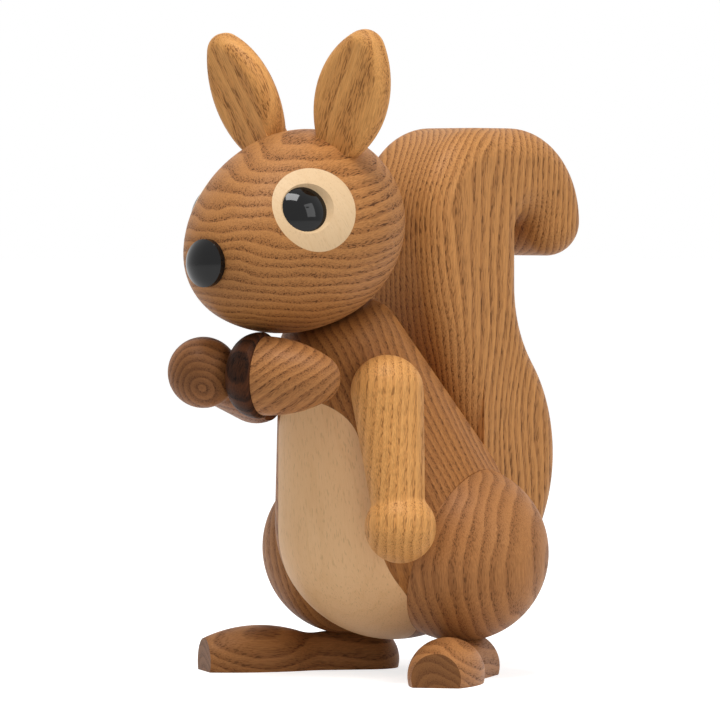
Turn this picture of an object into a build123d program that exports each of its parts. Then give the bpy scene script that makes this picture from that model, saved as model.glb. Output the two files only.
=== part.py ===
from build123d import *
from math import acos, asin, cos, degrees, radians, sin, sqrt, tan
import os

os.makedirs("parts", exist_ok=True)

# Wooden squirrel figurine, in millimetres and degrees.
# It faces -Y, its left side is +X, it stands on Z = 0, and the origin is
# under the middle of its bounding box. Most places are measured from the
# centre of the round lower end of the body, called the ball here.

# Body: a ball that runs into a cone and leans forward
ball_r = 24.1
ball_z = 31.0
body_lean = 23.7
cone_half_angle = 17.2
body_len = 46.7
body_top_edge_r = 6.0

# Maple belly, let into the front of the body
belly_low_r = 15.0
belly_low = 6.8
belly_high_r = 11.2
belly_high = 23.0
belly_back = 9.5

# Head: an egg turned about an axis that points forward and down
head_r = 19.7
head_widest = 1.1
head_cheek_r = 35.9
head_cheek_len = 23.4
head_nose_r = 15.0
head_back_r = 25.4
head_back_len = 15.7
head_crown_r = 6.3
head_pitch = 20.9
head_fwd = 0.35
head_seat_cut = 0.95

# Nose button
nose_r = 4.75
nose_dome = 1.9
nose_rim = 1.2
nose_proud = 0.7
nose_drop = 7.0
nose_stem_r = 1.8
nose_stem_len = 5.0

# Eyes: a maple disc in the head and a round black eye set off its centre
disc_r = 8.7
disc_depth = 5.0
disc_yaw = 26.2
disc_rise = 19.4
disc_side = 15.7
disc_fwd = 13.7
disc_up = 4.0
eye_r = 4.65
eye_dome = 1.6
eye_sink = 1.0
eye_fwd = 1.8
eye_up = 0.95
eye_rim_r = 5.3
eye_rim_depth = 0.4
eye_stem_r = 1.5
eye_stem_len = 5.0

# Ears
ear_w = 15.6
ear_t = 5.6
ear_len = 25.7
ear_widest_share = 0.595
ear_root = 6.0
ear_root_w = 8.2
ear_tip_r = 4.2
ear_edge_r = 2.5
ear_side = 9.15
ear_fwd = 0.23
ear_up = 15.25
ear_splay = 26.0
ear_nod = 7.4
ear_turn = 6.0

# Thighs
thigh_r = 18.0
thigh_side = 15.1
thigh_back = 3.5
thigh_drop = 6.0

# Feet
foot_len = 41.6
foot_toe_r = 5.0
foot_ball_r = 7.4
foot_ball_at = 10.5
foot_waist_r = 5.45
foot_waist_at = 22.0
foot_waist_round = 9.0
foot_heel_r = 6.8
foot_splay = 31.0
foot_axis_z = 1.8
foot_toe_side = 31.6
foot_toe_fwd = 22.7
foot_seat_z = 7.6
foot_seat_r = 8.3

# Arms, turned like a skittle and flat inside from the shoulder to the wrist.
# The middle of the shoulder is measured from the middle of the top of the body.
arm_shoulder_r = 7.3
arm_wrist_r = 5.4
arm_wrist_at = 21.6
arm_hand_r = 7.1
arm_hand_at = 27.4
arm_crease_r = 2.0
arm_flat = 4.2
shoulder_side = 17.8
shoulder_fwd = 2.93
shoulder_up = -15.36
shoulder_yaw = 18.5
shoulder_tilt = 11.1
left_swing = 0.0
right_swing = 98.2
shoulder_seat_r = 7.0
shoulder_gap = 0.3

# Tail: a thick slab sawn to an S and rounded over
tail_w = 25.0
tail_edge_r = 6.5
tail_rise = 80.3
tail_reach = 48.3
tail_long = 48.3
tail_front_r = 18.3
tail_rear_r = 19.3
tail_breast_r = 72.7
tail_tip_r = 7.1
tail_notch_r = 3.4
tail_notch_turn = 11.5
tail_waist_r = 24.0
tail_waist_up = 48.0
tail_haunch_r = 31.6
tail_haunch_turn = 39.0
tail_root = 14.0
tail_breast_turn = 22.0

# Acorn in the right hand
acorn_turn = 9.0
acorn_seat = 6.6
cap_r = 8.6
cap_len = 6.8
cap_rim_r = 1.1
cap_seat_r = 3.3
nut_r = 7.85
nut_len = 15.7
nut_tip_r = 5.0
nut_sink = 1.0

# Dowels, pins and friction rings
neck_dowel_r = 4.0
neck_dowel_in_head = 13.0
neck_dowel_in_body = 14.0
neck_gap = 0.3
neck_ring_w = 1.3
neck_ring_deep = 1.5
pin_r = 2.5
pin_in_arm = 8.0
pin_in_body = 7.0
pin_ring_w = 1.5
pin_ring_deep = 1.2
dowel_r = 2.5
dowel_in = 7.0
dowel_gap = 11.0
foot_dowel_r = 2.0
foot_dowel_up = 7.0
foot_dowel_down = 5.0
tail_dowel_gap = 17.0
peg_r = 1.6
peg_in_hand = 5.0
peg_in_nut = 6.0

# Clearances and the overrun of the cuts
glue_gap = 0.05
run_gap = 0.06
end_gap = 0.5
overrun = 40.0

sides = (("left", 1), ("right", -1))


def facing(origin, normal):
    """Place at an origin whose z axis is the normal and whose x axis is level."""
    return Plane(origin=origin, x_dir=Vector(0, 0, 1).cross(normal), z_dir=normal)


def lathe(place):
    """Sketch plane whose local x is the radius and local y runs along the place's z axis."""
    return Plane(origin=place.origin, x_dir=place.x_dir, z_dir=-place.y_dir)


def turning_axis(place):
    return Axis(place.origin, place.z_dir)


def moved_along(place, amount):
    return Plane(origin=place.origin + place.z_dir * amount, x_dir=place.x_dir, z_dir=place.z_dir)


def round_bar(place, radius, start, end):
    """Cylinder on a place's z axis, from start to end along it."""
    with BuildPart() as bar:
        with BuildSketch(moved_along(place, start)):
            Circle(radius)
        extrude(amount=end - start)
    return bar.part


# Directions of the leaning body
lean = radians(body_lean)
body_up = Vector(0, -sin(lean), cos(lean))
body_front = Vector(0, -cos(lean), -sin(lean))
cone = radians(cone_half_angle)
cone_base_r = ball_r / cos(cone)
body_top_r = cone_base_r - body_len * tan(cone)

# The head over the body, with the arcs of its outline
pitch = radians(head_pitch)
head_dir = Vector(0, -cos(pitch), -sin(pitch))
head_rel = body_up * (body_len + neck_gap + head_r - head_seat_cut) + body_front * head_fwd
cheek_turn = asin(head_cheek_len / head_cheek_r)
snout_y = head_widest + (head_cheek_r - head_nose_r) * sin(cheek_turn)
snout_x = head_r - head_cheek_r + (head_cheek_r - head_nose_r) * cos(cheek_turn)
back_turn = asin(head_back_len / head_back_r)
crown_y = head_widest - (head_back_r - head_crown_r) * sin(back_turn)
crown_x = head_r - head_back_r + (head_back_r - head_crown_r) * cos(back_turn)

# The origin lies midway between the nose and the back of the tail
snout_rel = head_rel + head_dir * snout_y
nose_fall = nose_drop - snout_y * sin(pitch)
nose_surface = -snout_rel.Y + sqrt(head_nose_r ** 2 - nose_fall ** 2)
ball_y = (nose_surface + nose_proud + nose_dome - tail_reach) / 2
ball = Vector(0, ball_y, ball_z)

body_place = Plane(origin=ball, x_dir=(1, 0, 0), z_dir=body_up)
neck_place = moved_along(body_place, body_len)
head_centre = ball + head_rel
head_place = Plane(origin=head_centre, x_dir=(1, 0, 0), z_dir=head_dir)

# Places of the thighs, the shoulders and the eyes


def thigh_centre(side):
    return ball + Vector(side * thigh_side, thigh_back, -thigh_drop)


def thigh_seam(side):
    """Flat joint in the plane where the ball of the thigh meets the ball of the body."""
    out = thigh_centre(side) - ball
    far = out.length
    seam_at = (far ** 2 + ball_r ** 2 - thigh_r ** 2) / (2 * far)
    return facing(ball + out.normalized() * seam_at, out.normalized())


def thigh_dowel_places(side):
    seam = thigh_seam(side)
    step = seam.y_dir * (dowel_gap / 2)
    return [facing(seam.origin + step * way, seam.z_dir) for way in (-1, 1)]


def foot_dowel_place(side):
    return Plane(origin=(side * thigh_side, ball_y + thigh_back, foot_seat_z))


def tail_dowel_places():
    return [
        Plane(origin=ball + Vector(0, tail_seat, way * tail_dowel_gap / 2), x_dir=(1, 0, 0), z_dir=(0, 1, 0))
        for way in (-1, 1)
    ]


def shoulder_place(side):
    """Place at the middle of the shoulder whose z axis is the pivot, pointing outwards."""
    yaw = radians(shoulder_yaw)
    tilt = radians(shoulder_tilt)
    pivot = Vector(side * cos(tilt) * cos(yaw), -cos(tilt) * sin(yaw), sin(tilt))
    middle = neck_place.origin + Vector(side * shoulder_side, -shoulder_fwd, shoulder_up)
    return facing(middle, pivot)


def arm_place(side, swing):
    """Place at the middle of the shoulder: z runs down the arm and x along the pivot."""
    shoulder = shoulder_place(side)
    down = -shoulder.y_dir
    forward = shoulder.z_dir.cross(down) * -side
    along = down * cos(radians(swing)) + forward * sin(radians(swing))
    return Plane(origin=shoulder.origin, x_dir=shoulder.z_dir, z_dir=along)


def disc_place(side):
    """Place at the middle of a maple eye disc, square to the head."""
    yaw = radians(disc_yaw)
    rise = radians(disc_rise)
    normal = Vector(side * cos(rise) * cos(yaw), -cos(rise) * sin(yaw), sin(rise))
    return facing(head_centre + Vector(side * disc_side, -disc_fwd, disc_up), normal)


def eye_place(side):
    disc = disc_place(side)
    ahead = (head_dir - disc.z_dir * head_dir.dot(disc.z_dir)).normalized()
    above = disc.z_dir.cross(ahead) * -side
    return facing(disc.origin + ahead * eye_fwd + above * eye_up, disc.z_dir)


def ear_place(side):
    splay = radians(ear_splay)
    nod = radians(ear_nod)
    turn = radians(ear_turn)
    along = Vector(side * sin(splay), -cos(splay) * sin(nod), cos(splay) * cos(nod))
    across = Vector(cos(turn), side * sin(turn), 0)
    across = (across - along * across.dot(along)).normalized()
    root = head_centre + Vector(side * ear_side, -ear_fwd, ear_up)
    return Plane(origin=root, x_dir=across, z_dir=across.cross(along))


nose_place = Plane(
    origin=(0, ball_y - nose_surface - nose_proud + nose_rim, head_centre.Z - nose_drop),
    x_dir=(1, 0, 0),
    z_dir=(0, -1, 0),
)

# Tail, drawn in the plane of symmetry: local x runs backwards and local y up
tail_front = tail_reach - tail_long
tail_seat = tail_front + tail_root
tail_place = Plane(origin=ball - Vector(tail_w / 2, 0, 0), x_dir=(0, 1, 0), z_dir=(1, 0, 0))
front_y = tail_rise - tail_front_r
rear_y = tail_rise - tail_rear_r
tip_x = tail_reach - tail_tip_r
notch = radians(tail_notch_turn)
notch_x = tip_x - (tail_tip_r + tail_notch_r) * cos(notch)
notch_y = rear_y - (tail_tip_r + tail_notch_r) * sin(notch)
waist_x = notch_x - tail_notch_r
haunch = radians(tail_haunch_turn)
haunch_x = waist_x + tail_waist_r - (tail_waist_r + tail_haunch_r) * cos(haunch)
haunch_y = tail_waist_up - (tail_waist_r + tail_haunch_r) * sin(haunch)
breast = radians(tail_breast_turn)
breast_x = tail_front + tail_breast_r * (1 - cos(breast))
breast_y = front_y - tail_breast_r * sin(breast)
haunch_end = acos((tail_seat - haunch_x) / tail_haunch_r)

with BuildPart() as tail_blank:
    with BuildSketch(tail_place):
        with BuildLine():
            CenterArc((tail_front + tail_breast_r, front_y), tail_breast_r, 180, tail_breast_turn)
            CenterArc((tail_front + tail_front_r, front_y), tail_front_r, 90, 90)
            Line((tail_front + tail_front_r, tail_rise), (tail_reach - tail_rear_r, tail_rise))
            CenterArc((tail_reach - tail_rear_r, rear_y), tail_rear_r, 0, 90)
            CenterArc((tip_x, rear_y), tail_tip_r, 0, tail_notch_turn - 180)
            CenterArc((notch_x, notch_y), tail_notch_r, tail_notch_turn, 180 - tail_notch_turn)
            Line((waist_x, notch_y), (waist_x, tail_waist_up))
            CenterArc((waist_x + tail_waist_r, tail_waist_up), tail_waist_r, 180, tail_haunch_turn)
            CenterArc(
                (haunch_x, haunch_y),
                tail_haunch_r,
                tail_haunch_turn,
                -tail_haunch_turn - degrees(haunch_end),
            )
            Polyline(
                (tail_seat, haunch_y - tail_haunch_r * sin(haunch_end)),
                (tail_seat, breast_y - (tail_seat - breast_x) / tan(breast)),
                (breast_x, breast_y),
            )
        make_face()
    extrude(amount=tail_w)
    side_faces = tail_blank.faces().filter_by(Axis.X)
    rims = side_faces.edges().filter_by(Axis.Z, reverse=True)
    fillet(rims, tail_edge_r)

# Body blank, shared by the oak torso and the maple belly
with BuildPart() as body_blank:
    with BuildSketch(lathe(body_place)) as body_profile:
        with BuildLine():
            CenterArc((0, 0), ball_r, -90, 90 + cone_half_angle)
            Line((ball_r * cos(cone), ball_r * sin(cone)), (body_top_r, body_len))
            Line((body_top_r, body_len), (0, body_len))
            Line((0, body_len), (0, -ball_r))
        make_face()
        fillet(body_profile.vertices().group_by(Axis.Y)[-1].sort_by(Axis.X)[-1], body_top_edge_r)
    revolve(axis=turning_axis(body_place))

# Cutters of the body: the belly's prism, the thigh seams, and the shoulder seats with their bores
with BuildPart() as belly_prism:
    with BuildSketch(Plane(origin=ball + body_front * belly_back, x_dir=(1, 0, 0), z_dir=body_front)):
        with Locations((0, -belly_low)):
            Circle(belly_low_r)
        with Locations((0, belly_high)):
            Circle(belly_high_r)
        make_hull()
    extrude(amount=overrun)

seam_cuts = [round_bar(thigh_seam(side), overrun, 0, overrun) for name, side in sides]
seat_at = arm_flat + shoulder_gap
seat_cuts = [round_bar(shoulder_place(side), shoulder_seat_r, -seat_at, overrun) for name, side in sides]
pin_bores = [
    round_bar(shoulder_place(side), pin_r + run_gap, -seat_at - pin_in_body - end_gap, 0)
    for name, side in sides
]
ring_bores = [
    round_bar(shoulder_place(side), pin_r + run_gap + pin_ring_w, -seat_at - pin_ring_deep, 0)
    for name, side in sides
]
thigh_bores = [
    round_bar(place, dowel_r + glue_gap, -dowel_in - end_gap, dowel_in + end_gap)
    for name, side in sides
    for place in thigh_dowel_places(side)
]
tail_bores = [
    round_bar(place, dowel_r + glue_gap, -dowel_in - end_gap, dowel_in + end_gap)
    for place in tail_dowel_places()
]
neck_bore = round_bar(neck_place, neck_dowel_r + run_gap, -neck_dowel_in_body - end_gap, overrun)
neck_ring_bore = round_bar(neck_place, neck_dowel_r + run_gap + neck_ring_w, -neck_ring_deep, overrun)

# Torso
with BuildPart() as torso:
    add(body_blank.part)
    add(belly_prism.part, mode=Mode.SUBTRACT)
    add(tail_blank.part, mode=Mode.SUBTRACT)
    for cutter in seam_cuts + seat_cuts + pin_bores + ring_bores + thigh_bores + tail_bores:
        add(cutter, mode=Mode.SUBTRACT)
    add(neck_bore, mode=Mode.SUBTRACT)
    add(neck_ring_bore, mode=Mode.SUBTRACT)
torso.part.label = "torso"
export_step(torso.part, "parts/torso.step")

# Belly panel
with BuildPart() as belly_panel:
    add(body_blank.part)
    add(belly_prism.part, mode=Mode.INTERSECT)
    for cutter in seam_cuts + seat_cuts:
        add(cutter, mode=Mode.SUBTRACT)
belly_panel.part.label = "belly_panel"
export_step(belly_panel.part, "parts/belly_panel.step")

# Tail
with BuildPart() as tail:
    add(tail_blank.part)
    for cutter in tail_bores:
        add(cutter, mode=Mode.SUBTRACT)
tail.part.label = "tail"
export_step(tail.part, "parts/tail.step")

with BuildPart() as tail_dowels:
    for place in tail_dowel_places():
        add(round_bar(place, dowel_r, -dowel_in, dowel_in))
tail_dowels.part.label = "tail_dowels"
export_step(tail_dowels.part, "parts/tail_dowels.step")

# Neck dowel and the friction ring under the head
with BuildPart() as neck_dowel:
    add(round_bar(neck_place, neck_dowel_r, -neck_dowel_in_body, neck_dowel_in_head))
neck_dowel.part.label = "neck_dowel"
export_step(neck_dowel.part, "parts/neck_dowel.step")

with BuildPart() as neck_ring:
    with BuildSketch(moved_along(neck_place, -neck_ring_deep)):
        Circle(neck_dowel_r + run_gap + neck_ring_w)
        Circle(neck_dowel_r + run_gap, mode=Mode.SUBTRACT)
    extrude(amount=neck_ring_deep + neck_gap)
neck_ring.part.label = "neck_ring"
export_step(neck_ring.part, "parts/neck_ring.step")

# Head blank, shared by the head and the eye discs
with BuildPart() as head_blank:
    with BuildSketch(lathe(head_place)):
        with BuildLine():
            tip_turn = acos(-snout_x / head_nose_r)
            CenterArc((snout_x, snout_y), head_nose_r, degrees(cheek_turn), degrees(tip_turn - cheek_turn))
            CenterArc((head_r - head_cheek_r, head_widest), head_cheek_r, 0, degrees(cheek_turn))
            CenterArc((head_r - head_back_r, head_widest), head_back_r, 0, -degrees(back_turn))
            CenterArc((crown_x, crown_y), head_crown_r, -degrees(back_turn), degrees(back_turn) - 90)
            Line((crown_x, crown_y - head_crown_r), (0, crown_y - head_crown_r))
            Line((0, crown_y - head_crown_r), (0, snout_y + head_nose_r * sin(tip_turn)))
        make_face()
    revolve(axis=turning_axis(head_place))

# Ear blanks, shared by the ears and their slots
ear_blanks = []
for name, side in sides:
    with BuildPart() as ear_blank:
        with BuildSketch(moved_along(ear_place(side), -ear_t / 2)) as ear_outline:
            with BuildLine():
                side_mid = ear_len * ear_widest_share
                ear_peak = ear_len + ear_tip_r / 2
                Line((-ear_root_w / 2, 0), (-ear_root_w / 2, -ear_root))
                Line((-ear_root_w / 2, -ear_root), (ear_root_w / 2, -ear_root))
                Line((ear_root_w / 2, -ear_root), (ear_root_w / 2, 0))
                ThreePointArc((ear_root_w / 2, 0), (ear_w / 2, side_mid), (0, ear_peak))
                ThreePointArc((0, ear_peak), (-ear_w / 2, side_mid), (-ear_root_w / 2, 0))
            make_face()
            fillet(ear_outline.vertices().group_by(Axis.Y)[-1], ear_tip_r)
        extrude(amount=ear_t)
        slab_faces = ear_blank.faces().sort_by(turning_axis(ear_place(side)))
        ear_rims = [
            edge
            for flat_face in (slab_faces[0], slab_faces[-1])
            for edge in flat_face.edges()
            if edge.center().Z > ear_place(side).origin.Z
        ]
        fillet(ear_rims, ear_edge_r)
    ear_blanks.append(ear_blank.part)

disc_cuts = [round_bar(disc_place(side), disc_r, -disc_depth, overrun) for name, side in sides]
eye_cuts = []
for name, side in sides:
    with BuildPart() as eye_cut:
        with BuildSketch(lathe(eye_place(side))):
            with BuildLine():
                slope = (eye_rim_r - eye_r - glue_gap) / (eye_sink - eye_rim_depth)
                Polyline(
                    (0, -eye_sink - eye_stem_len - end_gap),
                    (eye_stem_r + glue_gap, -eye_sink - eye_stem_len - end_gap),
                    (eye_stem_r + glue_gap, -eye_sink),
                    (eye_r + glue_gap, -eye_sink),
                    (eye_rim_r + slope * (eye_rim_depth + eye_sink), eye_sink),
                    (0, eye_sink),
                    close=True,
                )
            make_face()
        revolve(axis=turning_axis(eye_place(side)))
    eye_cuts.append(eye_cut.part)

nose_bore = round_bar(nose_place, nose_r + glue_gap, 0, overrun)
nose_stem_bore = round_bar(nose_place, nose_stem_r + glue_gap, -nose_stem_len - end_gap, 0)
head_flat = round_bar(neck_place, head_r, -overrun, neck_gap)
head_dowel_bore = round_bar(neck_place, neck_dowel_r + glue_gap, 0, neck_dowel_in_head + end_gap)

# Head
with BuildPart() as head:
    add(head_blank.part)
    for cutter in ear_blanks + disc_cuts + eye_cuts:
        add(cutter, mode=Mode.SUBTRACT)
    for cutter in (nose_bore, nose_stem_bore, head_flat, head_dowel_bore):
        add(cutter, mode=Mode.SUBTRACT)
head.part.label = "head"
export_step(head.part, "parts/head.step")

# Nose
with BuildPart() as nose:
    with BuildSketch(lathe(nose_place)):
        nose_dome_r = (nose_r ** 2 + nose_dome ** 2) / (2 * nose_dome)
        with BuildLine():
            Polyline(
                (0, nose_rim + nose_dome),
                (0, -nose_stem_len),
                (nose_stem_r, -nose_stem_len),
                (nose_stem_r, 0),
                (nose_r, 0),
                (nose_r, nose_rim),
            )
            dome_turn = degrees(asin(nose_r / nose_dome_r))
            CenterArc((0, nose_rim + nose_dome - nose_dome_r), nose_dome_r, 90 - dome_turn, dome_turn)
        make_face()
    revolve(axis=turning_axis(nose_place))
nose.part.label = "nose"
export_step(nose.part, "parts/nose.step")

# Ears, eye discs and eyes
for (name, side), ear_blank_part, disc_cut, eye_cut_part in zip(sides, ear_blanks, disc_cuts, eye_cuts):
    with BuildPart() as ear:
        add(ear_blank_part)
    ear.part.label = f"{name}_ear"
    export_step(ear.part, f"parts/{name}_ear.step")

    with BuildPart() as eye_disc:
        add(head_blank.part)
        add(disc_cut, mode=Mode.INTERSECT)
        add(eye_cut_part, mode=Mode.SUBTRACT)
    eye_disc.part.label = f"{name}_eye_disc"
    export_step(eye_disc.part, f"parts/{name}_eye_disc.step")

    with BuildPart() as eye:
        with BuildSketch(lathe(eye_place(side))):
            eye_dome_r = (eye_r ** 2 + eye_dome ** 2) / (2 * eye_dome)
            with BuildLine():
                Polyline(
                    (0, eye_dome - eye_sink),
                    (0, -eye_sink - eye_stem_len),
                    (eye_stem_r, -eye_sink - eye_stem_len),
                    (eye_stem_r, -eye_sink),
                    (eye_r, -eye_sink),
                )
                eye_turn = degrees(asin(eye_r / eye_dome_r))
                CenterArc((0, eye_dome - eye_sink - eye_dome_r), eye_dome_r, 90 - eye_turn, eye_turn)
            make_face()
        revolve(axis=turning_axis(eye_place(side)))
    eye.part.label = f"{name}_eye"
    export_step(eye.part, f"parts/{name}_eye.step")

# Arms with their pins and friction rings
acorn_middle = arm_place(-1, right_swing)
hand_centre = acorn_middle.origin + acorn_middle.z_dir * arm_hand_at
acorn_dir = -acorn_middle.x_dir * cos(radians(acorn_turn)) - acorn_middle.y_dir * sin(radians(acorn_turn))
acorn_place = Plane(origin=hand_centre + acorn_dir * acorn_seat, x_dir=acorn_middle.z_dir, z_dir=acorn_dir)
hand_flat = round_bar(acorn_place, overrun, 0, overrun)
hand_peg_bore = round_bar(acorn_place, peg_r + glue_gap, -peg_in_hand - end_gap, overrun)

for name, side in sides:
    place = arm_place(side, left_swing if side > 0 else right_swing)
    shoulder = shoulder_place(side)
    taper = (arm_shoulder_r - arm_wrist_r) / arm_wrist_at
    taper_turn = asin(taper)
    wrist_x = arm_shoulder_r / cos(taper_turn)
    with BuildPart() as arm:
        with BuildSketch(lathe(place)) as arm_outline:
            Circle(arm_shoulder_r)
            with Locations((0, arm_hand_at)):
                Circle(arm_hand_r)
            with BuildLine():
                Polyline(
                    (0, 0),
                    (arm_shoulder_r * cos(taper_turn), arm_shoulder_r * sin(taper_turn)),
                    (wrist_x - taper * arm_hand_at, arm_hand_at),
                    (0, arm_hand_at),
                    close=True,
                )
            make_face()
            with BuildLine():
                arm_end = arm_hand_at + overrun
                Polyline((0, -overrun), (-overrun, -overrun), (-overrun, arm_end), (0, arm_end), close=True)
            make_face(mode=Mode.SUBTRACT)
            fillet(arm_outline.vertices().sort_by_distance((arm_wrist_r, arm_wrist_at))[0], arm_crease_r)
        revolve(axis=turning_axis(place))
        flat_at = shoulder.origin - shoulder.z_dir * arm_flat
        with BuildSketch(Plane(origin=flat_at, x_dir=place.z_dir, z_dir=-shoulder.z_dir)):
            with Locations((arm_wrist_at - overrun / 2, 0)):
                Rectangle(overrun, overrun)
        extrude(amount=overrun, mode=Mode.SUBTRACT)
        bore_end = pin_in_arm + end_gap - arm_flat
        add(round_bar(shoulder, pin_r + glue_gap, -overrun, bore_end), mode=Mode.SUBTRACT)
        if side < 0:
            add(hand_flat, mode=Mode.SUBTRACT)
            add(hand_peg_bore, mode=Mode.SUBTRACT)
    arm.part.label = f"{name}_arm"
    export_step(arm.part, f"parts/{name}_arm.step")

    with BuildPart() as shoulder_pin:
        add(round_bar(shoulder, pin_r, -seat_at - pin_in_body, pin_in_arm - arm_flat))
    shoulder_pin.part.label = f"{name}_shoulder_pin"
    export_step(shoulder_pin.part, f"parts/{name}_shoulder_pin.step")

    with BuildPart() as shoulder_ring:
        with BuildSketch(moved_along(shoulder, -seat_at - pin_ring_deep)):
            Circle(pin_r + run_gap + pin_ring_w)
            Circle(pin_r + run_gap, mode=Mode.SUBTRACT)
        extrude(amount=pin_ring_deep + shoulder_gap)
    shoulder_ring.part.label = f"{name}_shoulder_ring"
    export_step(shoulder_ring.part, f"parts/{name}_shoulder_ring.step")

# Acorn: cap, nut and the peg that holds them to the hand
with BuildPart() as acorn_cap:
    with BuildSketch(lathe(acorn_place)):
        with BuildLine():
            dome_len = cap_len - cap_rim_r
            nut_seat = cap_len - nut_sink
            EllipticalCenterArc((cap_seat_r, dome_len), cap_r - cap_seat_r, dome_len, 270, arc_size=90)
            CenterArc((cap_r - cap_rim_r, dome_len), cap_rim_r, 0, 90)
            Polyline(
                (cap_r - cap_rim_r, cap_len),
                (nut_r - nut_sink, cap_len),
                (nut_r - nut_sink, nut_seat),
                (peg_r + glue_gap, nut_seat),
                (peg_r + glue_gap, 0),
                (cap_seat_r, 0),
            )
        make_face()
    revolve(axis=turning_axis(acorn_place))
acorn_cap.part.label = "acorn_cap"
export_step(acorn_cap.part, "parts/acorn_cap.step")

with BuildPart() as acorn_nut:
    with BuildSketch(lathe(acorn_place)):
        with BuildLine():
            peg_end = cap_len + peg_in_nut + end_gap
            tip_far = nut_len - nut_tip_r
            nut_side_r = (nut_r ** 2 + tip_far ** 2 - nut_tip_r ** 2) / (2 * (nut_r - nut_tip_r))
            nut_turn = degrees(asin(tip_far / (nut_side_r - nut_tip_r)))
            CenterArc((nut_r - nut_side_r, cap_len), nut_side_r, 0, nut_turn)
            CenterArc((0, cap_len + tip_far), nut_tip_r, nut_turn, 90 - nut_turn)
            Polyline(
                (nut_r, cap_len),
                (nut_r - nut_sink, cap_len),
                (nut_r - nut_sink, nut_seat),
                (peg_r + glue_gap, nut_seat),
                (peg_r + glue_gap, peg_end),
                (0, peg_end),
                (0, cap_len + nut_len),
            )
        make_face()
    revolve(axis=turning_axis(acorn_place))
acorn_nut.part.label = "acorn_nut"
export_step(acorn_nut.part, "parts/acorn_nut.step")

with BuildPart() as acorn_peg:
    add(round_bar(acorn_place, peg_r, -peg_in_hand, cap_len + peg_in_nut))
acorn_peg.part.label = "acorn_peg"
export_step(acorn_peg.part, "parts/acorn_peg.step")

# Thighs and feet with their dowels
for name, side in sides:
    thigh_top = thigh_centre(side)
    foot_dowel = foot_dowel_place(side)
    bore_low = -foot_dowel_down - end_gap
    bore_high = foot_dowel_up + end_gap
    foot_dowel_bore = round_bar(foot_dowel, foot_dowel_r + glue_gap, bore_low, bore_high)
    with BuildPart() as thigh:
        with Locations(thigh_top):
            Sphere(thigh_r)
        split(bisect_by=thigh_seam(side), keep=Keep.TOP)
        add(round_bar(foot_dowel, overrun, -overrun, 0), mode=Mode.SUBTRACT)
        add(tail_blank.part, mode=Mode.SUBTRACT)
        for cutter in thigh_bores + [foot_dowel_bore]:
            add(cutter, mode=Mode.SUBTRACT)
    thigh.part.label = f"{name}_thigh"
    export_step(thigh.part, f"parts/{name}_thigh.step")

    with BuildPart() as thigh_dowels:
        for place in thigh_dowel_places(side):
            add(round_bar(place, dowel_r, -dowel_in, dowel_in))
    thigh_dowels.part.label = f"{name}_thigh_dowels"
    export_step(thigh_dowels.part, f"parts/{name}_thigh_dowels.step")

    splay = radians(foot_splay)
    foot_place = Plane(
        origin=(side * foot_toe_side, ball_y - foot_toe_fwd, foot_axis_z),
        x_dir=(0, 0, 1),
        z_dir=(-side * sin(splay), cos(splay), 0),
    )
    with BuildPart() as foot:
        with BuildSketch(lathe(foot_place)) as foot_outline:
            with BuildLine():
                heel_at = foot_len - foot_heel_r
                ThreePointArc((foot_toe_r, 0), (foot_ball_r, foot_ball_at), (foot_waist_r, foot_waist_at))
                Line((foot_waist_r, foot_waist_at), (foot_heel_r, heel_at))
                CenterArc((0, heel_at), foot_heel_r, 0, 90)
                Polyline((0, foot_len), (0, 0), (foot_toe_r, 0))
            make_face()
            waist = foot_outline.vertices().sort_by_distance((foot_waist_r, foot_waist_at))[0]
            fillet(waist, foot_waist_round)
        revolve(axis=turning_axis(foot_place))
        with BuildSketch(Plane.XY):
            with Locations((side * foot_toe_side, ball_y - foot_toe_fwd)):
                Circle(foot_len + foot_heel_r)
        extrude(amount=-overrun, mode=Mode.SUBTRACT)
        add(round_bar(foot_dowel, foot_seat_r, 0, overrun), mode=Mode.SUBTRACT)
        add(foot_dowel_bore, mode=Mode.SUBTRACT)
    foot.part.label = f"{name}_foot"
    export_step(foot.part, f"parts/{name}_foot.step")

    with BuildPart() as foot_peg:
        add(round_bar(foot_dowel, foot_dowel_r, -foot_dowel_down, foot_dowel_up))
    foot_peg.part.label = f"{name}_foot_dowel"
    export_step(foot_peg.part, f"parts/{name}_foot_dowel.step")
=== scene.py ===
import bmesh
import bpy
from math import radians, sin, cos
from mathutils import Matrix, Vector


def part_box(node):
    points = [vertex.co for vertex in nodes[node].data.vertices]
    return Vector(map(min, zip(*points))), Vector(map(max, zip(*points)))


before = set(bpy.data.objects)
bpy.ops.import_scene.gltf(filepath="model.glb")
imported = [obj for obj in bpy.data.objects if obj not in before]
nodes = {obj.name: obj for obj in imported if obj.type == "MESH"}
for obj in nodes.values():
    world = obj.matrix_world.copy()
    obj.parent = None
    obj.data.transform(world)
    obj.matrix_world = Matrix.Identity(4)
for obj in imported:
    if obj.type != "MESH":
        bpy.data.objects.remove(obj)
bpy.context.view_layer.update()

MM = 0.001
WHITE = (1, 1, 1, 1)
X, Y, Z = (1, 0, 0), (0, 1, 0), (0, 0, 1)

# Sockets of the colour mix node, which has sockets of other types before them
MIX_FACTOR, MIX_A, MIX_B = 0, 6, 7
MIX_RESULT = 2

# Directions of the pieces, in degrees
BODY_LEAN = 23.7
EAR_SPLAY = 26.0
TOE_OUT = 31

# How strongly the surfaces reflect, and how deep their relief is in millimetres
WOOD_SHINE = 0.16
CAP_SHINE = 0.08
LACQUER_SHINE = 0.3
OAK_RELIEF = 0.12
MAPLE_RELIEF = 0.05
RUBBER_RELIEF = 0.03
LACQUER_RELIEF = 0.02

# Strength of that relief
OAK_BUMP = 0.35
MAPLE_BUMP = 0.15
RUBBER_BUMP = 0.2
LACQUER_BUMP = 0.03

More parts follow.
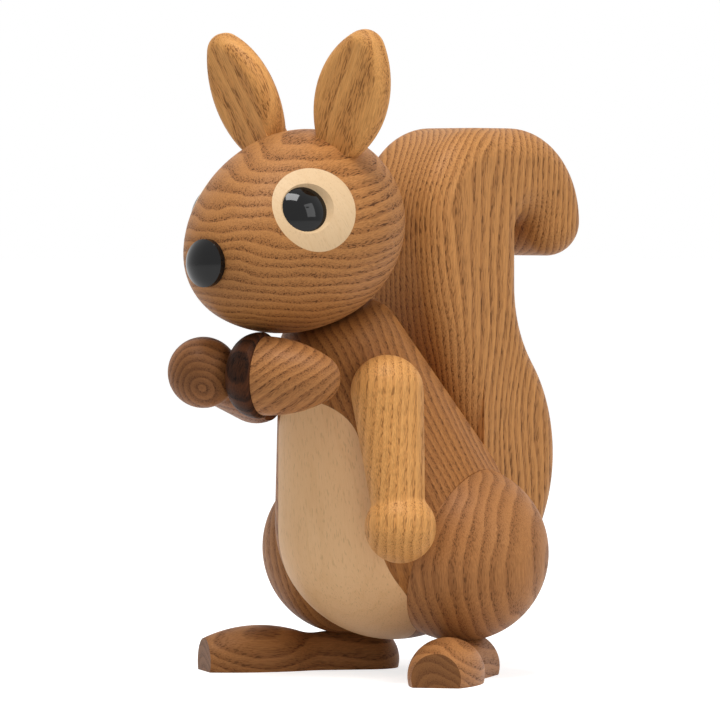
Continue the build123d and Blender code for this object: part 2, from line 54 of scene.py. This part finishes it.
# How dark a pore or fleck is, as a share of the wood's own dark colour
OAK_PORE_DEPTH = 0.42
MAPLE_PORE_DEPTH = 0.55

# Noises: how many per millimetre across the grain and along it
OAK_NOISE = {"bend": (0.045, 0.018), "uneven": (0.14, 0.03), "ragged": (1.6, 0.25),
             "patches": (0.09, 0.035), "fibre": (3.2, 0.09), "hair": (8.5, 0.22), "vessel": (4.4, 0.5)}
MAPLE_NOISE = {"uneven": (0.22, 0.02), "patches": (0.07, 0.03), "fibre": (4.0, 0.1),
               "speck": (3.6, 0.55)}
# Detail and roughness of the noises for fibres, streaks and pores
FIBRE_NOISE = (3.0, 0.6)
HAIR_NOISE = (2.0, 0.55)
PORE_NOISE = (1.0, 0.4)

# Oak: how far the rings bend, in years how uneven and ragged they are, and each ring's course
BEND_SPREAD = 4
UNEVEN_YEARS = 0.8
RAGGED_YEARS = 0.15
OAK_RING = [(0.0, 0.9), (0.1, 1.0), (0.42, 0.42), (0.7, 0.08), (0.9, 0.0), (1.0, 0.85)]
OAK_PORE = [(0.0, 0.0), (0.53, 0.0), (0.61, 1.0)]
OAK_STREAK = [(0.3, 0.8), (0.7, 1.16)]
PORES_IN_EARLY, PORES_ELSEWHERE = 0.85, 0.12
OAK_FIBRE, OAK_FIBRE_FROM = 1.5, -0.4
END_GRAIN_EDGE = 4.0
OAK_ROUGH, OAK_ROUGH_SPREAD, PORE_ROUGH = 0.42, 0.14, 0.2
HAIR_HEIGHT, EARLY_DEPTH = 0.25, 0.2

# Maple: the same, with faint rings and flecks
MAPLE_RING_WIDTH = 2.6
MAPLE_UNEVEN_YEARS = 2.2
MAPLE_RING = [(0.0, 0.55), (0.12, 0.1), (0.8, 0.2), (1.0, 0.55)]
MAPLE_FLECK = [(0.0, 0.0), (0.6, 0.0), (0.7, 1.0)]
MAPLE_RING_FORCE = 0.35
MAPLE_FIBRE, MAPLE_FIBRE_FROM = 0.55, -0.12
MAPLE_PATCHES, MAPLE_PATCHES_FROM = 0.7, -0.3
MAPLE_ROUGH, MAPLE_ROUGH_SPREAD = 0.4, 0.14

# Lacquer and rubber
DUST_SCALE, DUST_NOISE = 0.9, (3.0, 0.6)
LACQUER_ROUGH, LACQUER_ROUGH_SPREAD = 0.04, 0.04
RUBBER_SCALE = 6.0
RUBBER_ROUGH, RUBBER_ROUGH_SPREAD = 0.7, 0.15

# Floor and lights
FLOOR_RADIUS = 8.0
FLOOR_SIDES = 96
PAPER_SCALE = 900.0
FLOOR_LIFT = 0.72
WORLD_LEVEL = 0.42
WORLD_SEEN = 1.0
LIT_MIDDLE = (0, 0, 0.06)

# Camera: its axes, its place in millimetres, and its lens
CAMERA_RIGHT = (0.74314, 0.66913, 0.0)
CAMERA_BACK = (0.66887, -0.74285, 0.02792)
CAMERA_PLACE = (786.1, -878.25, 96.9)
SENSOR_WIDTH = 36
LENS = 290
NEAREST = 0.05
FARTHEST = 40


def lin(r, g, b):
    """Linear colour of an sRGB colour in 0 to 255."""
    out = []
    for value in (r, g, b):
        c = value / 255
        out.append(c / 12.92 if c <= 0.04045 else ((c + 0.055) / 1.055) ** 2.4)
    return tuple(out) + (1.0,)


OAK = {"light": lin(200, 142, 84), "mid": lin(172, 115, 63), "dark": lin(126, 76, 37)}
TORSO = {"light": lin(192, 132, 74), "mid": lin(164, 106, 54), "dark": lin(118, 69, 32)}
TAIL = {"light": lin(216, 157, 95), "mid": lin(188, 129, 72), "dark": lin(132, 81, 40)}
# Painted shade: a darker copy of the arm oak for the right arm, which stands in shade
SHADED = {"light": lin(172, 117, 70), "mid": lin(146, 94, 53), "dark": lin(102, 60, 30)}
HONEY = {"light": lin(230, 172, 104), "mid": lin(210, 148, 82), "dark": lin(176, 116, 60)}
BROWN = {"light": lin(194, 136, 82), "mid": lin(168, 112, 64), "dark": lin(124, 76, 40)}
SMOKED = {"light": lin(104, 60, 33), "mid": lin(62, 33, 17), "dark": lin(22, 10, 5)}
BELLY = {"light": lin(242, 198, 148), "dark": lin(218, 166, 112)}
DISC = {"light": lin(222, 192, 152), "dark": lin(206, 168, 124)}
BEECH = {"light": lin(214, 180, 140), "dark": lin(184, 146, 106)}
LACQUER_DARK, LACQUER_LIGHT = lin(2, 2, 3), lin(8, 8, 8)
RUBBER_DARK, RUBBER_LIGHT = lin(32, 32, 32), lin(58, 57, 56)
PAPER_DARK, PAPER_LIGHT = lin(212, 212, 212), lin(218, 218, 218)


class Tree:
    """Short calls for the nodes of one material."""

    def __init__(self, name):
        self.material = bpy.data.materials.new(name)
        self.material.use_nodes = True
        self.tree = self.material.node_tree
        self.tree.nodes.clear()

    def node(self, kind, inputs=(), **settings):
        made = self.tree.nodes.new(kind)
        for key, value in settings.items():
            setattr(made, key, value)
        for key, value in dict(inputs).items():
            self.put(made.inputs[key], value)
        return made

    def put(self, socket, value):
        if isinstance(value, bpy.types.NodeSocket):
            self.tree.links.new(value, socket)
        else:
            socket.default_value = value

    def math(self, operation, a, b=0.0, c=0.0):
        return self.node("ShaderNodeMath", {0: a, 1: b, 2: c}, operation=operation).outputs[0]

    def vector(self, operation, a, b):
        inputs = {0: a, 1: b}
        return self.node("ShaderNodeVectorMath", inputs, operation=operation).outputs[0]

    def ramp(self, factor, stops):
        """Grey levels at places from 0 to 1."""
        made = self.node("ShaderNodeValToRGB", {"Fac": factor})
        elements = made.color_ramp.elements
        while len(elements) < len(stops):
            elements.new(0.5)
        for element, (place, value) in zip(elements, stops):
            element.position = place
            element.color = (value, value, value, 1.0)
        return made.outputs["Color"]

    def mix(self, factor, a, b, blend="MIX"):
        made = self.node("ShaderNodeMix", data_type="RGBA", blend_type=blend)
        self.put(made.inputs[MIX_FACTOR], factor)
        self.put(made.inputs[MIX_A], a)
        self.put(made.inputs[MIX_B], b)
        return made.outputs[MIX_RESULT]

    def noise(self, vector, detail=2.0, roughness=0.5, scale=1.0, out="Fac"):
        inputs = {"Vector": vector, "Scale": scale, "Detail": detail, "Roughness": roughness}
        return self.node("ShaderNodeTexNoise", inputs).outputs[out]

    def stretched(self, vector, across, along):
        """The grain's coordinates, times one number across the grain and another along it."""
        return self.vector("MULTIPLY", vector, (across, across, along))

    def from_pith(self, vector):
        """Distance from the pith."""
        flat = self.vector("MULTIPLY", vector, (1.0, 1.0, 0.0))
        return self.node("ShaderNodeVectorMath", {0: flat}, operation="LENGTH").outputs["Value"]

    def finish(self, colour, rough, height, strength, relief, shine=None):
        """Surface with a colour, a roughness, and a relief in millimetres."""
        bump_inputs = {"Height": height, "Strength": strength, "Distance": relief * MM}
        bump = self.node("ShaderNodeBump", bump_inputs)
        inputs = {"Base Color": colour, "Roughness": rough, "Normal": bump.outputs[0]}
        if shine is not None:
            inputs["Specular IOR Level"] = shine
        shader = self.node("ShaderNodeBsdfPrincipled", inputs)
        self.end(shader)
        return self.material

    def end(self, shader):
        out = self.node("ShaderNodeOutputMaterial")
        self.tree.links.new(shader.outputs[0], out.inputs["Surface"])


def grain(tree, pith, along, side):
    """Coordinates in millimetres with the pith as the z axis, running along the grain."""
    z = Vector(along).normalized()
    y = z.cross(Vector(side)).normalized()
    x = y.cross(z)
    turn = Matrix((x, y, z)).transposed().to_euler()
    place = tree.node("ShaderNodeTexCoord").outputs["Object"]
    inputs = {"Vector": place, "Location": tuple(v * MM for v in pith),
              "Rotation": tuple(turn), "Scale": (MM, MM, MM)}
    return tree.node("ShaderNodeMapping", inputs, vector_type="TEXTURE").outputs[0]


def darker(colour, share):
    return tuple(share * v for v in colour[:3]) + (1.0,)


def oak(name, pith, along, side, light, mid, dark, ring=2.0, ring_force=0.6, pores=0.75,
        wander=2.2, blotch=0.35, end=0.15, shine=WOOD_SHINE):
    """Oiled oak: growth rings about a pith, open pores in the early wood, fibres, slow
    changes of tone, and darker end grain. The rings are that many millimetres apart."""
    t = Tree(name)
    place = grain(t, pith, along, side)

    # Rings: the distance from the pith, bent slowly, made uneven and ragged
    slow = t.noise(t.stretched(place, *OAK_NOISE["bend"]), out="Color")
    shift = t.vector("SUBTRACT", slow, (0.5, 0.5, 0.5))
    shift = t.node("ShaderNodeVectorMath", {0: shift, "Scale": wander * BEND_SPREAD},
                   operation="SCALE").outputs[0]
    years = t.math("DIVIDE", t.from_pith(t.vector("ADD", place, shift)), ring)
    uneven = t.noise(t.stretched(place, *OAK_NOISE["uneven"]))
    ragged = t.noise(t.stretched(place, *OAK_NOISE["ragged"]))
    bends = t.math("MULTIPLY_ADD", ragged, RAGGED_YEARS, t.math("MULTIPLY", uneven, UNEVEN_YEARS))
    years = t.math("ADD", years, bends)
    early = t.ramp(t.math("FRACT", years), OAK_RING)

    # Fibres, fine streaks and pores, longer along the grain than across it
    fibre = t.noise(t.stretched(place, *OAK_NOISE["fibre"]), *FIBRE_NOISE)
    hair = t.noise(t.stretched(place, *OAK_NOISE["hair"]), *HAIR_NOISE)
    vessel = t.noise(t.stretched(place, *OAK_NOISE["vessel"]), *PORE_NOISE)
    pore = t.ramp(vessel, OAK_PORE)
    pore = t.math("MULTIPLY", pore, t.math("MULTIPLY_ADD", early, PORES_IN_EARLY, PORES_ELSEWHERE))

    # Colour: fibres, rings, patches, streaks, pores, end grain
    colour = t.mix(t.math("MULTIPLY_ADD", fibre, OAK_FIBRE, OAK_FIBRE_FROM), mid, light)
    colour = t.mix(t.math("MULTIPLY", early, ring_force), colour, dark)
    patches = t.noise(t.stretched(place, *OAK_NOISE["patches"]))
    colour = t.mix(t.math("MULTIPLY", patches, blotch), colour, mid)
    colour = t.mix(1.0, colour, t.ramp(hair, OAK_STREAK), "MULTIPLY")
    deep = darker(dark, OAK_PORE_DEPTH)
    colour = t.mix(t.math("MULTIPLY", pore, pores), colour, deep)
    normal = t.node("ShaderNodeTexCoord").outputs["Normal"]
    facing = t.node("ShaderNodeVectorMath", {0: normal, 1: tuple(Vector(along).normalized())},
                    operation="DOT_PRODUCT").outputs["Value"]
    cut = t.math("POWER", t.math("ABSOLUTE", facing), END_GRAIN_EDGE)
    colour = t.mix(t.math("MULTIPLY", cut, end), colour, deep)

    # Roughness and relief: pores are rough and low
    rough = t.math("MULTIPLY_ADD", hair, OAK_ROUGH_SPREAD, OAK_ROUGH)
    rough = t.math("ADD", rough, t.math("MULTIPLY", pore, PORE_ROUGH))
    low = t.math("ADD", pore, t.math("MULTIPLY", early, EARLY_DEPTH))
    height = t.math("SUBTRACT", t.math("MULTIPLY", hair, HAIR_HEIGHT), low)
    return t.finish(colour, rough, height, OAK_BUMP, OAK_RELIEF, shine)


def maple(name, pith, along, side, light, dark, flecks=0.3):
    """Oiled maple or beech: pale, with faint straight rings and short flecks along the grain."""
    t = Tree(name)
    place = grain(t, pith, along, side)
    uneven = t.noise(t.stretched(place, *MAPLE_NOISE["uneven"]))
    years = t.math("DIVIDE", t.from_pith(place), MAPLE_RING_WIDTH)
    years = t.math("MULTIPLY_ADD", uneven, MAPLE_UNEVEN_YEARS, years)
    band = t.ramp(t.math("FRACT", years), MAPLE_RING)
    fibre = t.noise(t.stretched(place, *MAPLE_NOISE["fibre"]), *FIBRE_NOISE)
    speck = t.noise(t.stretched(place, *MAPLE_NOISE["speck"]), *PORE_NOISE)
    fleck = t.ramp(speck, MAPLE_FLECK)
    patches = t.noise(t.stretched(place, *MAPLE_NOISE["patches"]))
    fibres = t.math("MULTIPLY_ADD", fibre, MAPLE_FIBRE, MAPLE_FIBRE_FROM)
    amount = t.math("ADD", t.math("MULTIPLY", band, MAPLE_RING_FORCE), fibres)
    amount = t.math("ADD", amount, t.math("MULTIPLY_ADD", patches, MAPLE_PATCHES, MAPLE_PATCHES_FROM))
    colour = t.mix(amount, light, dark)
    colour = t.mix(t.math("MULTIPLY", fleck, flecks), colour, darker(dark, MAPLE_PORE_DEPTH))
    rough = t.math("MULTIPLY_ADD", fibre, MAPLE_ROUGH_SPREAD, MAPLE_ROUGH)
    height = t.math("SUBTRACT", fibre, fleck)
    return t.finish(colour, rough, height, MAPLE_BUMP, MAPLE_RELIEF, WOOD_SHINE)


def lacquer(name, pith):
    """Glossy black: a hair of unevenness in the tone and the gloss."""
    t = Tree(name)
    dust = t.noise(grain(t, pith, Z, X), *DUST_NOISE, scale=DUST_SCALE)
    colour = t.mix(dust, LACQUER_DARK, LACQUER_LIGHT)
    rough = t.math("MULTIPLY_ADD", dust, LACQUER_ROUGH_SPREAD, LACQUER_ROUGH)
    return t.finish(colour, rough, dust, LACQUER_BUMP, LACQUER_RELIEF, LACQUER_SHINE)


def rubber(name):
    """Matt black rubber with a fine grain."""
    t = Tree(name)
    fine = t.noise(grain(t, (0, 0, 0), Z, X), scale=RUBBER_SCALE)
    colour = t.mix(fine, RUBBER_DARK, RUBBER_LIGHT)
    rough = t.math("MULTIPLY_ADD", fine, RUBBER_ROUGH_SPREAD, RUBBER_ROUGH)
    return t.finish(colour, rough, fine, RUBBER_BUMP, RUBBER_RELIEF)


def from_middle(name, *offset):
    """Place in millimetres, an offset away from the middle of the node's box."""
    low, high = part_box(name)
    middle = Vector(tuple((low[i] + high[i]) / 2 / MM for i in range(3)))
    return middle + Vector(offset) if offset else middle


# Materials: pith, direction of the grain, a direction across it, and colours
lean = radians(BODY_LEAN)
body_up = (0, -sin(lean), cos(lean))

made = {
    "torso": oak("oak_torso", from_middle("torso", 24, 26, 0), body_up, X,
                 ring=1.7, ring_force=0.65, end=0.5, **TORSO),
    "head": oak("oak_head", from_middle("head", -4, 8, -34), (0.12, -1, -0.2), X,
                ring=1.9, ring_force=0.6, pores=1.0, **OAK),
    "tail": oak("oak_tail", from_middle("tail", -26, -34, 0), (0, 0.06, 1), X,
                ring=1.35, ring_force=0.65, pores=0.9, **TAIL),
    "belly_panel": maple("maple_belly", from_middle("belly_panel", 0, 60, 0), (0, -0.2, 1), X, **BELLY),
    "nose": lacquer("black_nose", from_middle("nose")),
    "neck_dowel": maple("beech_neck", from_middle("neck_dowel", 20, 0, 0), body_up, X, **BEECH),
    "tail_dowels": maple("beech_tail", from_middle("tail_dowels", 20, 0, 0), Y, X, **BEECH),
    "acorn_peg": maple("beech_peg", from_middle("acorn_peg", 0, 20, 0), X, Z, **BEECH),
    "neck_ring": rubber("rubber_neck"),
    "acorn_nut": oak("oak_nut", from_middle("acorn_nut", 0, -14, 24), (0.8, 0.1, 0.45), Y,
                     ring=1.8, ring_force=0.7, pores=0.9, **BROWN),
    "acorn_cap": oak("smoked_oak", from_middle("acorn_cap", 0, 9, -12), (0.3, 0.2, 1), X,
                     ring=1.6, ring_force=0.85, pores=0.8, shine=CAP_SHINE, **SMOKED),
    "left_arm": oak("oak_left_arm", from_middle("left_arm", 30, 27, 0), (0.13, -0.2, -1), X,
                    ring=1.7, ring_force=0.5, wander=0.9, **HONEY),
    # Right arm: its colours are painted shade, darker than the left arm's
    "right_arm": oak("oak_right_arm", from_middle("right_arm", 2, 0, -2), (0.35, -0.94, 0.05), Z,
                     ring=1.5, ring_force=0.75, wander=0.9, end=0.5, **SHADED),
}

splay, toe = radians(EAR_SPLAY), radians(TOE_OUT)
for side, way in (("left", 1), ("right", -1)):
    ear, disc, eye = f"{side}_ear", f"{side}_eye_disc", f"{side}_eye"
    thigh, foot = f"{side}_thigh", f"{side}_foot"
    made[ear] = oak(f"oak_{side}_ear", from_middle(ear, way * 5, 17, 0),
                    (way * sin(splay), -0.1, cos(splay)), X, ring=2.2, ring_force=0.6, pores=0.9, **HONEY)
    made[disc] = maple(f"maple_{side}_disc", from_middle(disc, 0, 40, 0), (0, -0.5, 1), X,
                       flecks=0.18, **DISC)
    made[eye] = lacquer(f"black_{side}_eye", from_middle(eye))
    made[thigh] = oak(f"oak_{side}_thigh", from_middle(thigh, way * -17, -16, 0),
                      (way * 0.16, -0.22, 1), X, ring=2.3, ring_force=0.6, **BROWN)
    made[foot] = oak(f"oak_{side}_foot", from_middle(foot, 0, 0, -9),
                     (way * sin(toe), -cos(toe), 0.03), Z, ring=1.8, ring_force=0.7, end=0.6, **BROWN)
    made[f"{side}_shoulder_ring"] = rubber(f"rubber_{side}")
    beech = (("thigh_dowels", (way, 0.2, -0.3), Z), ("foot_dowel", Z, X),
             ("shoulder_pin", (way, -0.3, 0.2), Z))
    for kind, along, across in beech:
        node = f"{side}_{kind}"
        made[node] = maple(f"beech_{side}_{kind}", from_middle(node, 0, 20, 0), along, across, **BEECH)

for name, material in made.items():
    mesh = nodes[name].data
    mesh.materials.clear()
    mesh.materials.append(material)


# Floor: pale, takes the shadow, and is lifted to white for the camera and for reflections
def floor_paper():
    t = Tree("floor_paper")
    grainy = t.noise(t.node("ShaderNodeTexCoord").outputs["Object"], scale=PAPER_SCALE)
    colour = t.mix(grainy, PAPER_DARK, PAPER_LIGHT)
    diffuse = t.node("ShaderNodeBsdfDiffuse", {"Color": colour})
    glow = t.node("ShaderNodeEmission", {"Color": WHITE})
    path = t.node("ShaderNodeLightPath")
    seen = t.math("MAXIMUM", path.outputs["Is Camera Ray"], path.outputs["Is Glossy Ray"])
    seen = t.math("MAXIMUM", seen, path.outputs["Is Transmission Ray"])
    t.put(glow.inputs["Strength"], t.math("MULTIPLY", seen, FLOOR_LIFT))
    both = t.node("ShaderNodeAddShader")
    t.put(both.inputs[0], diffuse.outputs[0])
    t.put(both.inputs[1], glow.outputs[0])
    t.end(both)
    return t.material


floor_mesh = bpy.data.meshes.new("floor")
shape = bmesh.new()
bmesh.ops.create_circle(shape, cap_ends=True, segments=FLOOR_SIDES, radius=FLOOR_RADIUS)
shape.to_mesh(floor_mesh)
shape.free()
floor = bpy.data.objects.new("floor", floor_mesh)
floor_mesh.materials.append(floor_paper())
bpy.context.scene.collection.objects.link(floor)

# World: an even studio, white where it is seen or mirrored
world = bpy.data.worlds.new("studio")
bpy.context.scene.world = world
world.use_nodes = True
tree = world.node_tree
tree.nodes.clear()
path = tree.nodes.new("ShaderNodeLightPath")
seen = path.outputs["Is Camera Ray"]
for ray in ("Is Glossy Ray", "Is Transmission Ray"):
    most = tree.nodes.new("ShaderNodeMath")
    most.operation = "MAXIMUM"
    tree.links.new(seen, most.inputs[0])
    tree.links.new(path.outputs[ray], most.inputs[1])
    seen = most.outputs[0]
level = tree.nodes.new("ShaderNodeMapRange")
level.inputs["To Min"].default_value = WORLD_LEVEL
level.inputs["To Max"].default_value = WORLD_SEEN
tree.links.new(seen, level.inputs["Value"])
sky = tree.nodes.new("ShaderNodeBackground")
sky.inputs["Color"].default_value = WHITE
tree.links.new(level.outputs["Result"], sky.inputs["Strength"])
out = tree.nodes.new("ShaderNodeOutputWorld")
tree.links.new(sky.outputs[0], out.inputs["Surface"])


def lamp(name, place, size, power):
    """Rectangular lamp that points at the middle of the figurine, sizes in metres."""
    data = bpy.data.lights.new(name, "AREA")
    data.shape = "RECTANGLE"
    data.size, data.size_y = size
    data.energy = power
    made_lamp = bpy.data.objects.new(name, data)
    bpy.context.scene.collection.objects.link(made_lamp)
    made_lamp.location = place
    aim = Vector(LIT_MIDDLE) - Vector(place)
    made_lamp.rotation_euler = aim.to_track_quat("-Z", "Y").to_euler()


lamp("top", (0.15, -0.3, 1.0), (0.5, 0.4), 7.5)
lamp("right", (1.1, 0.1, 0.6), (0.6, 0.8), 4.0)

# Camera, fitted to the photograph
right = Vector(CAMERA_RIGHT).normalized()
back = Vector(CAMERA_BACK).normalized()
above = back.cross(right)
data = bpy.data.cameras.new("camera")
data.sensor_fit = "HORIZONTAL"
data.sensor_width = SENSOR_WIDTH
data.lens = LENS
data.clip_start = NEAREST
data.clip_end = FARTHEST
camera = bpy.data.objects.new("camera", data)
bpy.context.scene.collection.objects.link(camera)
pose = Matrix((right, above, back)).transposed().to_4x4()
pose.translation = Vector(CAMERA_PLACE) * MM
camera.matrix_world = pose
bpy.context.scene.camera = camera
bpy.context.scene.view_settings.view_transform = "Standard"
